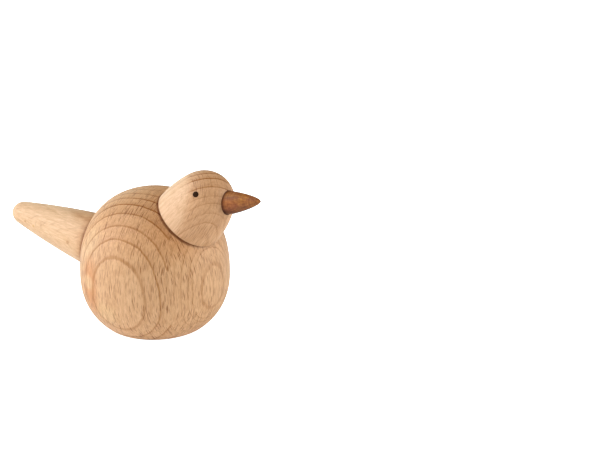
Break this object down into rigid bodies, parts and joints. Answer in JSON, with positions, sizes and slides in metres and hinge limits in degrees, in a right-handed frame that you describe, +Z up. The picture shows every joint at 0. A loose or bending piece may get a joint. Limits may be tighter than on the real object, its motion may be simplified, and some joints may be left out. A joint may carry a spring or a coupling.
{
  "type": "carved wooden bird ornament",
  "caption": "Small turned beech bird with a round body on a flat foot, domed head, tapering tail, darker wood beak and dark eye pegs; stands by its own weight.",
  "frame": {"origin": "centre of the flat round foot under the body, on the surface that the bird stands on", "axes": "+Z up, +X forward to the beak, +Y to the bird's left; the bird is the same on both sides of the XZ plane"},
  "size_m": [0.1418, 0.07, 0.0787],
  "materials": {
    "beech": "sanded and lightly oiled, matt, with dark growth rings and short ray flecks",
    "beak_wood": "reddish brown, fine straight grain, sanded and lightly oiled",
    "eye_wood": "very dark brown, end grain, smooth"
  },
  "bodies": {
    "root": {"body": "beech", "head": "beech", "tail": "beech", "beak": "beak_wood", "eye_left": "eye_wood", "eye_right": "eye_wood"}
  },
  "joints": []
}
